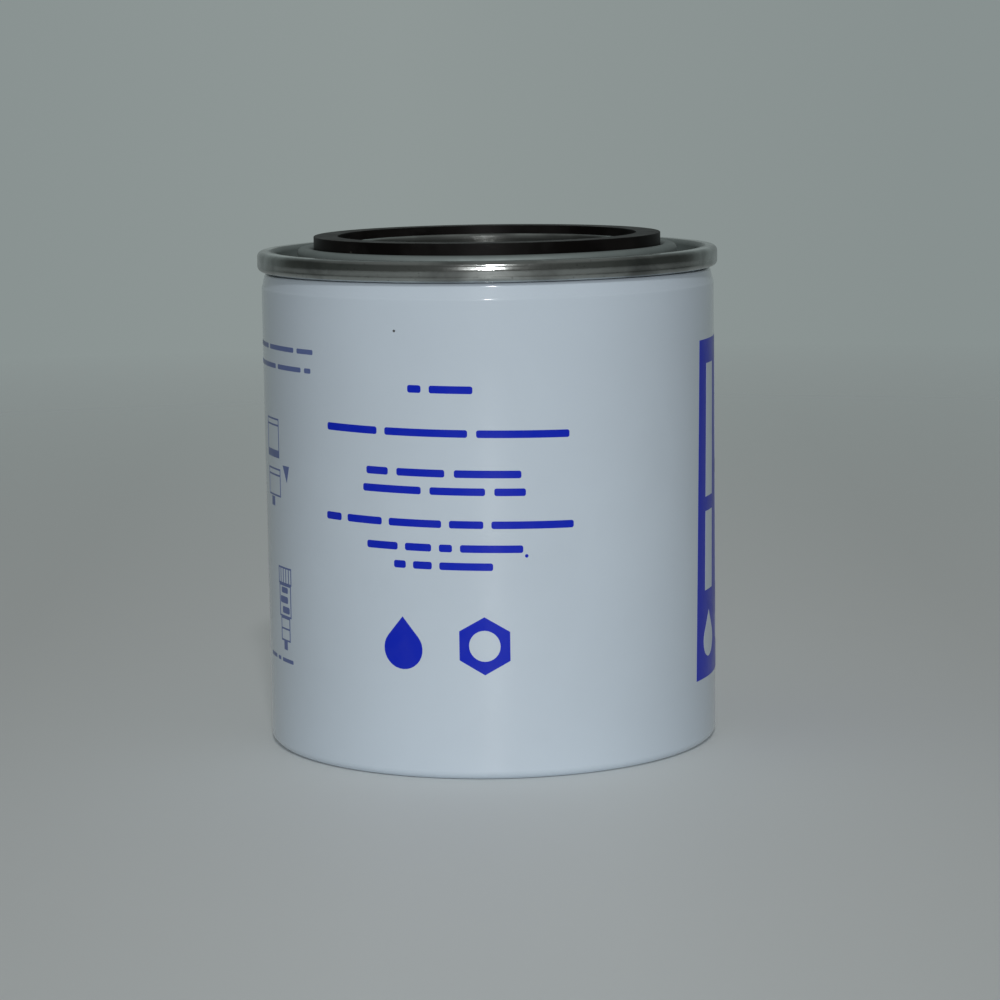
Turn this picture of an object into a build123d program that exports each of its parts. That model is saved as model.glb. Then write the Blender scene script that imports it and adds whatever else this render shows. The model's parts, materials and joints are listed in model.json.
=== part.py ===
# Spin-on fuel water separator element: a drawn steel can closed by a seamed lid, with a threaded plate,
# a pleated element on a spring, and a port for a bowl underneath.
# Millimetres. +Z up, origin at the middle of the can's base, so the base stands on Z = 0.

from build123d import *
from math import asin, degrees
import os

# Can
CAN_DIAMETER = 94.0
CAN_HEIGHT = 102.5  # base to the top of the rolled seam
CAN_SHEET = 0.6
CORNER_RADIUS = 1.8  # outside bend at the base
SHOULDER_HEIGHT = 3.3  # the can narrows over this height to reach its seam
STEP_HEIGHT = 0.36  # short slope that starts the shoulder
STEP_DEPTH = 0.15
STEP_BEND = 1.2
SHOULDER_DEPTH = 0.75  # wall to the upper edge of the shoulder
SHOULDER_BEND = 1.2
NECK_HEIGHT = 0.5  # shelf between the shoulder and the neck, under the seam
NECK_BEND = 0.5
HOOK_BEND = 0.4  # inside bend of the body hook

# Double seam
SEAM_OVERHANG = 0.75  # seam beyond the can's wall
SEAM_HEIGHT = 4.1
SEAM_GAP = 0.05  # sealing film between the folded layers
HOOK_GAP = 0.4  # end of each hook to the fold that it reaches into
RIM_BEND = 0.3  # inside bend at the rim's outer edge
CHUCK_BEND = 0.2  # inside bend at the rim's inner edge
CURL_BEND = 1.1  # outside bend at the foot of the seam

# Lid
LID_SHEET = 0.8
MOAT_DEPTH = 3.6  # rim to the floor of the ring-shaped recess inside it
MOAT_WIDTH = 4.55
MOAT_BEND = 0.8
LAND_WIDTH = 3.25  # raised land between the recess and the gasket's groove
LAND_RISE = 0.55  # land above the rim
LAND_BEND = 1.1
CREST_RISE = 0.65  # inner wall of the gasket groove above the land
CREST_WIDTH = 1.85
CREST_BEND = 0.9
CREST_SLOPE = 1.8  # how far the crest's inner side leans in on its way down
LID_LEDGE = 1.7  # flat edge of the lid's opening, inside the slope

# Head gasket
GASKET_WIDTH = 5.0
GASKET_HEIGHT = 5.2
GASKET_STAND = 2.3  # gasket above the land
GROOVE_CLEARANCE = 0.15  # gasket to each wall of its groove

# Tapping plate: 1 inch head thread, 14 turns to the inch
PLATE_THICKNESS = 4.0
PLATE_CLEARANCE = 0.2  # plate's rim to the lid around it
PLATE_EDGE = 0.5  # chamfer round the plate's rim
THREAD_MINOR = 23.44
THREAD_LENGTH = 9.0
THREAD_LEAD = 0.9  # chamfer at each mouth of the thread
HUB_DIAMETER = 31.0
HUB_FILLET = 1.5  # root of the hub under the plate
INLET_COUNT = 8
INLET_DIAMETER = 6.0

# Seal between the hub and the element
SEAL_GRIP = 2.6  # how far the hub reaches into the grommet
SEAL_CLEARANCE = 0.05
GROMMET_WALL = 2.0
GROMMET_HEIGHT = 4.4
GROMMET_FLANGE = 1.5
GROMMET_LIP = 1.8  # flange beyond the collar it sits on

# End caps
CAP_SHEET = 0.5
CAP_DIAMETER = 82.0
CAP_SKIRT = 5.0
CAP_BEND = 1.2  # outside bend between a cap's face and its skirt
COLLAR_HEIGHT = 3.6
COLLAR_BEND = 0.6
DISH_DEPTH = 2.5  # dish in the middle of the closed cap
DISH_DIAMETER = 30.0
DISH_BEND = 1.5

# Potting: cured adhesive that the pleats stand in, inside each end cap
POTTING_THICKNESS = 2.0

# Pleated media and its core
PLEAT_COUNT = 48
MEDIA_THICKNESS = 0.7
MEDIA_CLEARANCE = 0.5  # pleats to the skirts of the end caps
CREST_FOLD = 2.0  # width of a pleat's outer fold
VALLEY_FOLD = 1.8  # width of a pleat's inner fold
CORE_DIAMETER = 40.4
CORE_WALL = 1.3
CORE_CLEARANCE = 0.3  # core to the pleats around it
WINDOW_ROWS = 5
WINDOWS_AROUND = 8
WINDOW_WIDTH = 6.0
WINDOW_HEIGHT = 9.5
WINDOW_CORNER = 1.2
WINDOW_PITCH = 12.6

# Bowl port
PORT_MINOR = 60.0
PORT_WALL = 3.2
PORT_HEIGHT = 9.0
PORT_LEAD = 1.0  # chamfer at the mouth of the bowl's thread
PORT_EDGE = 0.6  # chamfer round the port's upper rim and its flange
FLANGE_WIDTH = 4.8
FLANGE_THICKNESS = 2.0
FLOOR_SETBACK = 1.3  # edge of the floor's opening outside the port's bore

# Spring under the element
SPRING_SHEET = 0.8
SPRING_HEIGHT = 11.4
SPRING_CLEARANCE = 0.5  # spring's ring to the port that it is centred on
SPRING_WIDTH = 4.0
SPRING_LEGS = 4
LEG_WIDTH = 11.0
LEG_REACH = 2.4  # how far a leg runs out from the ring before it turns up
LEG_BEND = 1.6
LEG_LEAN = 4.0  # how far a leg leans in on its way up
LEG_FOOT = 6.0  # flat end of a leg, under the cap

# Heights worked out from the sizes above
seam_foot = CAN_HEIGHT - SEAM_HEIGHT
shoulder_foot = seam_foot - SHOULDER_HEIGHT
hook_fold = CAN_HEIGHT - LID_SHEET - SEAM_GAP - CAN_SHEET  # underside of the can's body hook
moat_floor = CAN_HEIGHT - MOAT_DEPTH
land_top = CAN_HEIGHT + LAND_RISE
crest_top = land_top + CREST_RISE
groove_floor = land_top + GASKET_STAND - GASKET_HEIGHT
plate_top = groove_floor - LID_SHEET
plate_bottom = plate_top - PLATE_THICKNESS
hub_end = plate_top - THREAD_LENGTH
grommet_top = hub_end + SEAL_GRIP
collar_top = grommet_top - GROMMET_FLANGE
top_cap_face = collar_top - COLLAR_HEIGHT
potting_top = top_cap_face - CAP_SHEET
media_top = potting_top - POTTING_THICKNESS
flange_top = CAN_SHEET + FLANGE_THICKNESS
port_top = CAN_SHEET + PORT_HEIGHT
spring_top = flange_top + SPRING_HEIGHT
potting_bottom = spring_top + CAP_SHEET
media_bottom = potting_bottom + POTTING_THICKNESS

# Radii of the seam's layers, from the outside in
can_radius = CAN_DIAMETER / 2
panel_radius = can_radius + SEAM_OVERHANG
body_hook_radius = panel_radius - LID_SHEET - SEAM_GAP
cover_hook_radius = body_hook_radius - CAN_SHEET - SEAM_GAP
neck_radius = cover_hook_radius - LID_SHEET - SEAM_GAP
chuck_radius = neck_radius - CAN_SHEET - SEAM_GAP - LID_SHEET

# Other radii
land_radius = chuck_radius - MOAT_WIDTH
groove_outer = land_radius - LAND_WIDTH
gasket_outer = groove_outer - GROOVE_CLEARANCE
gasket_inner = gasket_outer - GASKET_WIDTH
groove_inner = gasket_inner - GROOVE_CLEARANCE
crest_inner = groove_inner - CREST_WIDTH
slope_foot = crest_inner - CREST_SLOPE
opening_radius = slope_foot - LID_LEDGE
plate_radius = land_radius - LID_SHEET - PLATE_CLEARANCE
hub_radius = HUB_DIAMETER / 2
inlet_circle = (hub_radius + opening_radius) / 2  # radius on which the inlets lie, midway in the opening
grommet_bore = hub_radius + SEAL_CLEARANCE
collar_bore = grommet_bore + GROMMET_WALL + SEAL_CLEARANCE
cap_radius = CAP_DIAMETER / 2
potting_radius = cap_radius - CAP_SHEET
media_radius = potting_radius - MEDIA_CLEARANCE
core_radius = CORE_DIAMETER / 2
core_bore = core_radius - CORE_WALL
pleat_inner = core_radius + CORE_CLEARANCE
port_bore = PORT_MINOR / 2
port_radius = port_bore + PORT_WALL
flange_radius = port_radius + FLANGE_WIDTH
spring_inner = port_radius + SPRING_CLEARANCE
spring_outer = spring_inner + SPRING_WIDTH

os.makedirs("parts", exist_ok=True)


def bent_sheet(corners, bends, sheet):
    """Draw the section of a bent sheet.

    The corners and bend radii are those of one skin. The other skin lies a sheet's thickness to the
    left of it, so a bend to the left is tighter there and a bend to the right is wider. A bend of 0
    is a crease.
    """
    skin = [Vector(*corner) for corner in corners]
    runs = [(end - start).normalized() for start, end in zip(skin, skin[1:])]
    sides = [Vector(-run.Y, run.X) for run in runs]
    neighbours = list(zip([sides[0]] + sides, sides + [sides[-1]]))
    back = [
        corner + (before + after) * sheet / (1 + before.dot(after))
        for corner, (before, after) in zip(skin, neighbours)
    ]
    turns = [before.cross(after).Z for before, after in neighbours[1:-1]]
    back_bends = [
        bend and (bend - sheet if turn > 0 else bend + sheet) for bend, turn in zip(bends, turns)
    ]
    FilletPolyline(*skin, radius=bends)
    FilletPolyline(*back, radius=back_bends)
    Line(skin[0], back[0])
    Line(skin[-1], back[-1])


def pleat_skin(crest, crest_fold, valley, valley_fold):
    """Corners of one skin of the pleats: each pleat has a flat outer fold and a flat inner fold."""
    pitch = 360 / PLEAT_COUNT
    crest_turn = degrees(asin(crest_fold / 2 / crest))
    valley_turn = degrees(asin(valley_fold / 2 / valley))
    corners = []
    for pleat in range(PLEAT_COUNT):
        middle = pleat * pitch
        corners += [
            Vector(crest, 0).rotate(Axis.Z, middle - crest_turn),
            Vector(crest, 0).rotate(Axis.Z, middle + crest_turn),
            Vector(valley, 0).rotate(Axis.Z, middle + pitch / 2 - valley_turn),
            Vector(valley, 0).rotate(Axis.Z, middle + pitch / 2 + valley_turn),
        ]
    return corners


# Can: floor, wall, shoulder, neck and the body hook that the seam folds in
with BuildPart() as can_shell:
    with BuildSketch(Plane.XZ):
        with BuildLine():
            bent_sheet(
                [
                    (port_bore + FLOOR_SETBACK, 0),
                    (can_radius, 0),
                    (can_radius, shoulder_foot),
                    (can_radius - STEP_DEPTH, shoulder_foot + STEP_HEIGHT),
                    (can_radius - SHOULDER_DEPTH, seam_foot - NECK_HEIGHT),
                    (neck_radius, seam_foot),
                    (neck_radius, hook_fold),
                    (body_hook_radius - CAN_SHEET, hook_fold),
                    (body_hook_radius - CAN_SHEET, seam_foot + LID_SHEET + HOOK_GAP),
                ],
                bends=[
                    CORNER_RADIUS,
                    STEP_BEND,
                    STEP_BEND,
                    SHOULDER_BEND,
                    NECK_BEND,
                    HOOK_BEND,
                    HOOK_BEND,
                ],
                sheet=CAN_SHEET,
            )
        make_face()
    revolve(axis=Axis.Z)
can_shell.part.label = "can_shell"
export_step(can_shell.part, "parts/can_shell.step")

# Lid: cover hook, seaming panel, rim, moat, land, gasket groove and crest, all from one sheet
with BuildPart() as seaming_lid:
    with BuildSketch(Plane.XZ):
        with BuildLine():
            bent_sheet(
                [
                    (cover_hook_radius - LID_SHEET, hook_fold - HOOK_GAP),
                    (cover_hook_radius - LID_SHEET, seam_foot),
                    (panel_radius, seam_foot),
                    (panel_radius, CAN_HEIGHT),
                    (chuck_radius, CAN_HEIGHT),
                    (chuck_radius, moat_floor),
                    (land_radius, moat_floor),
                    (land_radius, land_top),
                    (groove_outer, land_top),
                    (groove_outer, groove_floor),
                    (groove_inner, groove_floor),
                    (groove_inner, crest_top),
                    (crest_inner, crest_top),
                    (slope_foot, groove_floor),
                    (opening_radius, groove_floor),
                ],
                bends=[
                    CURL_BEND,
                    CURL_BEND,
                    LID_SHEET + RIM_BEND,
                    LID_SHEET + CHUCK_BEND,
                    MOAT_BEND,
                    MOAT_BEND,
                    LAND_BEND,
                    LAND_BEND,
                    0,
                    0,
                    CREST_BEND,
                    CREST_BEND,
                    0,
                ],
                sheet=LID_SHEET,
            )
        make_face()
    revolve(axis=Axis.Z)
seaming_lid.part.label = "seaming_lid"
export_step(seaming_lid.part, "parts/seaming_lid.step")

# Head gasket: plain square section, standing proud of the land
with BuildPart() as head_gasket:
    with BuildSketch(Plane.XY.offset(groove_floor)):
        Circle(gasket_outer)
        Circle(gasket_inner, mode=Mode.SUBTRACT)
    extrude(amount=GASKET_HEIGHT)
head_gasket.part.label = "head_gasket"
export_step(head_gasket.part, "parts/head_gasket.step")

# Tapping plate: thick disc with a drawn hub for the head thread and a ring of inlet holes
with BuildPart() as tapping_plate:
    with BuildSketch(Plane.XZ):
        with BuildLine():
            Polyline(
                (THREAD_MINOR / 2, hub_end + THREAD_LEAD),
                (THREAD_MINOR / 2 + THREAD_LEAD, hub_end),
                (hub_radius, hub_end),
                (hub_radius, plate_bottom - HUB_FILLET),
            )
            RadiusArc(
                (hub_radius, plate_bottom - HUB_FILLET),
                (hub_radius + HUB_FILLET, plate_bottom),
                HUB_FILLET,
            )
            Polyline(
                (hub_radius + HUB_FILLET, plate_bottom),
                (plate_radius - PLATE_EDGE, plate_bottom),
                (plate_radius, plate_bottom + PLATE_EDGE),
                (plate_radius, plate_top - PLATE_EDGE),
                (plate_radius - PLATE_EDGE, plate_top),
                (THREAD_MINOR / 2 + THREAD_LEAD, plate_top),
                (THREAD_MINOR / 2, plate_top - THREAD_LEAD),
                (THREAD_MINOR / 2, hub_end + THREAD_LEAD),
            )
        make_face()
    revolve(axis=Axis.Z)
    with Locations((0, 0, plate_top)):
        with PolarLocations(inlet_circle, INLET_COUNT):
            Hole(INLET_DIAMETER / 2)
tapping_plate.part.label = "tapping_plate"
export_step(tapping_plate.part, "parts/tapping_plate.step")

# Grommet: sleeve in the cap's collar, flange on top of it
with BuildPart() as element_grommet:
    with BuildSketch(Plane.XZ):
        with BuildLine():
            Polyline(
                (grommet_bore, grommet_top),
                (grommet_bore, grommet_top - GROMMET_HEIGHT),
                (grommet_bore + GROMMET_WALL, grommet_top - GROMMET_HEIGHT),
                (grommet_bore + GROMMET_WALL, collar_top),
                (collar_bore + CAP_SHEET + GROMMET_LIP, collar_top),
                (collar_bore + CAP_SHEET + GROMMET_LIP, grommet_top),
                close=True,
            )
        make_face()
    revolve(axis=Axis.Z)
element_grommet.part.label = "element_grommet"
export_step(element_grommet.part, "parts/element_grommet.step")

# Top end cap: skirt, face and the collar for the grommet
with BuildPart() as top_end_cap:
    with BuildSketch(Plane.XZ):
        with BuildLine():
            bent_sheet(
                [
                    (cap_radius, potting_top - CAP_SKIRT),
                    (cap_radius, top_cap_face),
                    (collar_bore + CAP_SHEET, top_cap_face),
                    (collar_bore + CAP_SHEET, collar_top),
                ],
                bends=[CAP_BEND, COLLAR_BEND],
                sheet=CAP_SHEET,
            )
        make_face()
    revolve(axis=Axis.Z)
top_end_cap.part.label = "top_end_cap"
export_step(top_end_cap.part, "parts/top_end_cap.step")

# Bottom end cap: closed, with a shallow dish in the middle
with BuildPart() as bottom_end_cap:
    with BuildSketch(Plane.XZ):
        with BuildLine():
            bent_sheet(
                [
                    (0, spring_top + DISH_DEPTH),
                    (DISH_DIAMETER / 2 - DISH_DEPTH, spring_top + DISH_DEPTH),
                    (DISH_DIAMETER / 2, spring_top),
                    (cap_radius, spring_top),
                    (cap_radius, potting_bottom + CAP_SKIRT),
                ],
                bends=[DISH_BEND, DISH_BEND, CAP_BEND],
                sheet=CAP_SHEET,
            )
        make_face()
    revolve(axis=Axis.Z)
bottom_end_cap.part.label = "bottom_end_cap"
export_step(bottom_end_cap.part, "parts/bottom_end_cap.step")

# Potting: a ring of cured adhesive in each end cap, bevelled where the cap's face turns into its skirt
for name, level, corner in (
    ("top_potting", media_top, Axis.Z),
    ("bottom_potting", potting_bottom, -Axis.Z),
):
    with BuildPart() as potting:
        with BuildSketch(Plane.XY.offset(level)):
            Circle(potting_radius)
        extrude(amount=POTTING_THICKNESS)
        chamfer(potting.edges().sort_by(corner)[-1], CAP_BEND - CAP_SHEET)
        with BuildSketch(Plane.XY.offset(level)):
            Circle(core_bore)
        extrude(amount=POTTING_THICKNESS, mode=Mode.SUBTRACT)
    potting.part.label = name
    export_step(potting.part, f"parts/{name}.step")

# Pleated media: one folded sheet closed on itself
with BuildPart() as pleated_media:
    with BuildSketch(Plane.XY.offset(media_bottom)):
        with BuildLine():
            Polyline(
                *pleat_skin(
                    media_radius,
                    CREST_FOLD,
                    pleat_inner + MEDIA_THICKNESS,
                    VALLEY_FOLD - 2 * MEDIA_THICKNESS,
                ),
                close=True,
            )
        make_face()
        with BuildLine():
            Polyline(
                *pleat_skin(
                    media_radius - MEDIA_THICKNESS,
                    CREST_FOLD - 2 * MEDIA_THICKNESS,
                    pleat_inner,
                    VALLEY_FOLD,
                ),
                close=True,
            )
        make_face(mode=Mode.SUBTRACT)
    extrude(amount=media_top - media_bottom)
pleated_media.part.label = "pleated_media"
export_step(pleated_media.part, "parts/pleated_media.step")

# Core: tube with rows of windows that let the fuel in
with BuildPart() as center_tube:
    with BuildSketch(Plane.XY.offset(media_bottom)):
        Circle(core_radius)
        Circle(core_bore, mode=Mode.SUBTRACT)
    extrude(amount=media_top - media_bottom)
    core_middle = (media_top + media_bottom) / 2
    for opposite_pair in range(WINDOWS_AROUND // 2):
        with BuildSketch(Plane.XZ.rotated((0, 0, opposite_pair * 360 / WINDOWS_AROUND))):
            with Locations((0, core_middle)):
                with GridLocations(WINDOW_WIDTH, WINDOW_PITCH, 1, WINDOW_ROWS):
                    RectangleRounded(WINDOW_WIDTH, WINDOW_HEIGHT, WINDOW_CORNER)
        extrude(amount=core_radius, both=True, mode=Mode.SUBTRACT)
center_tube.part.label = "center_tube"
export_step(center_tube.part, "parts/center_tube.step")

# Bowl port: threaded ring on the inside of the can's floor
with BuildPart() as bowl_port_ring:
    with BuildSketch(Plane.XZ):
        with BuildLine():
            Polyline(
                (port_bore + PORT_LEAD, CAN_SHEET),
                (flange_radius, CAN_SHEET),
                (flange_radius, flange_top - PORT_EDGE),
                (flange_radius - PORT_EDGE, flange_top),
                (port_radius, flange_top),
                (port_radius, port_top - PORT_EDGE),
                (port_radius - PORT_EDGE, port_top),
                (port_bore + PORT_EDGE, port_top),
                (port_bore, port_top - PORT_EDGE),
                (port_bore, CAN_SHEET + PORT_LEAD),
                close=True,
            )
        make_face()
    revolve(axis=Axis.Z)
bowl_port_ring.part.label = "bowl_port_ring"
export_step(bowl_port_ring.part, "parts/bowl_port_ring.step")

# Spring: flat ring round the port, with legs that turn up and lean in under the bottom end cap
with BuildPart() as support_spring:
    with BuildSketch(Plane.XY.offset(flange_top)):
        Circle(spring_outer)
        Circle(spring_inner, mode=Mode.SUBTRACT)
    extrude(amount=SPRING_SHEET)
    leg_root = spring_outer + LEG_REACH
    for leg in range(SPRING_LEGS):
        with BuildSketch(Plane.XZ.rotated((0, 0, leg * 360 / SPRING_LEGS))):
            with BuildLine():
                bent_sheet(
                    [
                        (spring_outer - SPRING_WIDTH / 2, flange_top),
                        (leg_root, flange_top),
                        (leg_root - LEG_LEAN, spring_top),
                        (leg_root - LEG_LEAN - LEG_FOOT, spring_top),
                    ],
                    bends=[LEG_BEND, LEG_BEND],
                    sheet=SPRING_SHEET,
                )
            make_face()
        extrude(amount=LEG_WIDTH / 2, both=True)
support_spring.part.label = "support_spring"
export_step(support_spring.part, "parts/support_spring.step")
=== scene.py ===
import json
from math import atan2, ceil, cos, pi, radians, sin, tan
from types import SimpleNamespace

import bmesh
import bpy
from bpy.props import FloatProperty, FloatVectorProperty, IntProperty, PointerProperty
from bpy.types import Operator, Panel, PropertyGroup
from mathutils import Matrix, Vector

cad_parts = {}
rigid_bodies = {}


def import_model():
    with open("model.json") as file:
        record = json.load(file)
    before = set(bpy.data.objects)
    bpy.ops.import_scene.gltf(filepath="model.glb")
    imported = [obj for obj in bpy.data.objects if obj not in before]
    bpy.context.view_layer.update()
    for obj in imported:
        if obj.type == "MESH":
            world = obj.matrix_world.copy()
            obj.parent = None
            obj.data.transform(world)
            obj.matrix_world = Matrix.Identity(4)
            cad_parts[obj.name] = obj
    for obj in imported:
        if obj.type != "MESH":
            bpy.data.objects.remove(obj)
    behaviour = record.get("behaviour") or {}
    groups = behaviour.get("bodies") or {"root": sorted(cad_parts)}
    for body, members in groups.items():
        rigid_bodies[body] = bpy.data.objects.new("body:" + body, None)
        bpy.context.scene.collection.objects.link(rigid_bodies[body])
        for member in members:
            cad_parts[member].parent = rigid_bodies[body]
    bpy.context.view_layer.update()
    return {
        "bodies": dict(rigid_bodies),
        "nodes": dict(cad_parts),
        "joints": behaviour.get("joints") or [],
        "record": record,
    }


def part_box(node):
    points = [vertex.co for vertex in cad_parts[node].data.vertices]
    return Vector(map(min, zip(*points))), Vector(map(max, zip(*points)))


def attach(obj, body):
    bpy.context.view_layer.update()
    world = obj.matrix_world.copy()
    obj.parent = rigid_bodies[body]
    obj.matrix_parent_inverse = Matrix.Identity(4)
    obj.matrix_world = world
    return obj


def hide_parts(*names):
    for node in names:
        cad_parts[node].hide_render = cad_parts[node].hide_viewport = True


bl_info = {
    "name": "Fuel Water Separator Finish",
    "version": (1, 0, 0),
    "blender": (4, 5, 0),
    "location": "View3D > Sidebar > Separator",
    "description": "Finishes of a spin-on fuel water separator element, and a stage for it",
    "category": "Object",
}

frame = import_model()

MM = 0.001
BODY = "root"
BEND_STEP = radians(6)  # widest angle between neighbouring points of a bend
FILM_STEP = radians(2)  # widest angle between neighbouring points of the print
SHARP_ANGLE = radians(30)
TURNED_SEGMENTS = 256
PLATE_SEGMENTS = 160
PORT_SEGMENTS = 224
INLET_SEGMENTS = 40
THREAD_DEPTH = 0.54  # depth of a 60 degree internal thread, for each unit of its pitch
THREAD_ROWS = 10  # rings of points in one turn of a thread
BAR_GAP = 0.12  # share of a unit by which a printed bar falls short

# Where the stage's masks start and end: over the floor in metres, and round the room in parts of a direction
# The floor's painted light fades out between the first and the second distance from its middle
FLOOR_SIDES = (0.02, 0.12)
IN_FRONT = (-0.2, -0.9)
BEHIND = (0.45, 0.95)
OVERHEAD = (0.5, 0.9)
# The backdrop's painted shade grows between these parts of a direction from its middle
BACKDROP_SIDES = (0.0, 0.17)
BACKDROP_MIDDLE = -0.03

# Finishes that more than one operator uses. The frame brings materials under the slots' own names.
ENAMEL = "baked_enamel"
TINPLATE = "bright_tinplate"
ZINC = "zinc_plated"
NITRILE = "moulded_nitrile"

can_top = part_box("can_shell")[1]
lid_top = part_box("seaming_lid")[1]
gasket_foot, gasket_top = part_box("head_gasket")
plate_foot, plate_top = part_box("tapping_plate")
port_foot, port_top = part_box("bowl_port_ring")


def number(name, description, default, **unit):
    """A number that the sidebar shows, with its unit or subtype."""
    return FloatProperty(name=name, description=description, default=default, precision=6, **unit)


def length(name, description, millimetres):
    """A length that the sidebar shows. Blender keeps it in metres."""
    return number(name, description, millimetres * MM, unit="LENGTH", subtype="DISTANCE")


def angle(name, description, turn):
    """An angle in radians that the sidebar shows."""
    return number(name, description, turn, subtype="ANGLE")


def colour(name, description, *tint):
    """A linear colour that the sidebar shows."""
    return FloatVectorProperty(
        name=name, description=description, default=tint, min=0, max=1, size=3, subtype="COLOR"
    )


class CanSizes(PropertyGroup):
    """Drawn can and the double seam at its top."""

    radius: length("Radius", "Outside of the can's wall", can_top.x / MM)
    sheet: length("Sheet", "Thickness of the can's steel", 0.6)
    corner_bend: length("Corner bend", "Outside bend at the base", 1.8)
    shoulder_height: length("Shoulder height", "Height over which the can narrows to its seam", 3.3)
    step_height: length("Step height", "Short slope that starts the shoulder", 0.36)
    step_depth: length("Step depth", "How far the short slope goes in", 0.15)
    step_bend: length("Step bend", "Bend at each end of the short slope", 1.2)
    shoulder_depth: length("Shoulder depth", "Wall to the upper edge of the shoulder", 0.75)
    shoulder_bend: length("Shoulder bend", "Bend at the upper edge of the shoulder", 1.2)
    neck_height: length("Neck height", "Shelf between the shoulder and the neck", 0.5)
    neck_bend: length("Neck bend", "Bend at the foot of the neck", 0.5)
    hook_bend: length("Hook bend", "Inside bend of the body hook", 0.4)
    floor_setback: length("Floor setback", "Edge of the floor's opening outside the port's bore", 1.3)
    seam_height: length("Seam height", "Foot of the seam to its top", 4.1)
    seam_gap: length("Seam gap", "Sealing film between the folded layers", 0.05)
    hook_gap: length("Hook gap", "End of each hook to the fold that it reaches into", 0.4)
    rim_bend: length("Rim bend", "Inside bend at the rim's outer edge", 0.3)
    chuck_bend: length("Chuck bend", "Inside bend at the rim's inner edge", 0.2)
    curl_bend: length("Curl bend", "Outside bend at the foot of the seam", 1.1)
    crown_top: length("Crown top", "Rim to the upper edge of the seam's crown", 0.7)
    crown_peak: length("Crown peak", "Rim to the fullest line of the seam's crown", 1.75)
    crown_foot: length("Crown foot", "Rim to the lower edge of the seam's crown", 3.1)
    crown_depth: length("Crown depth", "How much fuller the seam is at its crown", 0.13)
    burnished: length("Burnished", "Radius outside which the seaming rollers leave the tin bright", 45.0)


class LidSizes(PropertyGroup):
    """Pressed lid, from its seaming panel in to its opening."""

    panel_radius: length("Panel radius", "Outside of the seaming panel", lid_top.x / MM)
    sheet: length("Sheet", "Thickness of the lid's steel", 0.8)
    moat_depth: length("Moat depth", "Rim to the floor of the recess inside it", 3.6)
    moat_width: length("Moat width", "Recess between the rim and the land", 4.55)
    moat_bend: length("Moat bend", "Bend at each side of the recess", 0.8)
    land_width: length("Land width", "Raised land round the gasket", 3.25)
    land_rise: length("Land rise", "Land above the rim", 0.55)
    land_bend: length("Land bend", "Bend at each edge of the land", 1.1)
    crest_rise: length("Crest rise", "Inner wall of the groove above the land", 0.65)
    crest_width: length("Crest width", "Width of the groove's inner wall", 1.85)
    crest_bend: length("Crest bend", "Bend at each edge of the crest", 0.9)
    crest_slope: length("Crest slope", "How far the crest's inner side leans in", 1.8)
    ledge: length("Ledge", "Flat edge round the lid's opening", 1.7)
    groove_clearance: length("Groove clearance", "Gasket to each wall of its groove", 0.15)


class GasketSizes(PropertyGroup):
    """Square-section ring in the lid's groove."""

    outer_radius: length("Outer radius", "Outside of the gasket", gasket_top.x / MM)
    width: length("Width", "Outside of the gasket to its inside", 5.0)
    edge: length("Edge", "Rounding of the moulded edges", 0.16)


class PlateSizes(PropertyGroup):
    """Tapping plate with its hub, head thread and inlets."""

    radius: length("Radius", "Rim of the plate", plate_top.x / MM)
    thickness: length("Thickness", "Thickness of the plate", 4.0)
    edge: length("Edge", "Chamfer round the plate's rim", 0.5)
    hub_radius: length("Hub radius", "Outside of the hub", 15.5)
    hub_fillet: length("Hub fillet", "Root of the hub under the plate", 1.5)
    thread_radius: length("Thread radius", "Minor radius of the head thread", 11.72)
    thread_pitch: length("Thread pitch", "One turn of the head thread", 25.4 / 14)
    thread_lead: length("Thread lead", "Chamfer at each mouth of the thread", 0.9)
    inlets: IntProperty(name="Inlets", description="Holes round the hub", default=8, min=1)
    inlet_radius: length("Inlet radius", "Radius of each inlet", 3.0)


class PortSizes(PropertyGroup):
    """Threaded ring for the bowl, on the inside of the can's floor."""

    flange_radius: length("Flange radius", "Outside of the flange", port_top.x / MM)
    flange_width: length("Flange width", "Flange outside the ring's wall", 4.8)
    flange_thickness: length("Flange thickness", "Thickness of the flange", 2.0)
    wall: length("Wall", "Thickness of the ring's wall", 3.2)
    edge: length("Edge", "Chamfer round the rim and the flange", 0.6)
    thread_pitch: length("Thread pitch", "One turn of the bowl's thread", 2.0)
    thread_lead: length("Thread lead", "Chamfer at the mouth of the thread", 1.0)


class PrintSizes(PropertyGroup):
    """Screen print on the enamel, laid out on the unrolled wall."""

    film: length("Film", "Ink above the enamel", 0.02)
    footing: length("Footing", "Ink under the enamel's surface, so that no gap shows", 0.04)
    middle: length("Middle", "Middle of the front print, to the right of the front of the can", -9.7)
    bar_height: length("Bar height", "Height of a bar in the front print", 1.5)
    fine_bar_height: length("Fine bar height", "Height of a bar in the side print", 1.0)
    speck_place: length("Speck place", "Caught dirt, to the right of the front of the can", -18.9)
    speck_height: length("Speck height", "Caught dirt above the base", 89.0)
    band_left: length("Band left", "Left edge of the blue band, at its foot", 51.2)
    band_width: length("Band width", "Width of the blue band", 46.0)
    band_foot: length("Band foot", "Lower edge of the blue band", 14.1)
    band_height: length("Band height", "Height of the blue band", 70.0)
    slant: number("Slant", "Fall of the front print for each unit to the right", 0.019)
    lean: number("Lean", "How far the band goes to the right for each unit up", 0.036)


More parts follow.
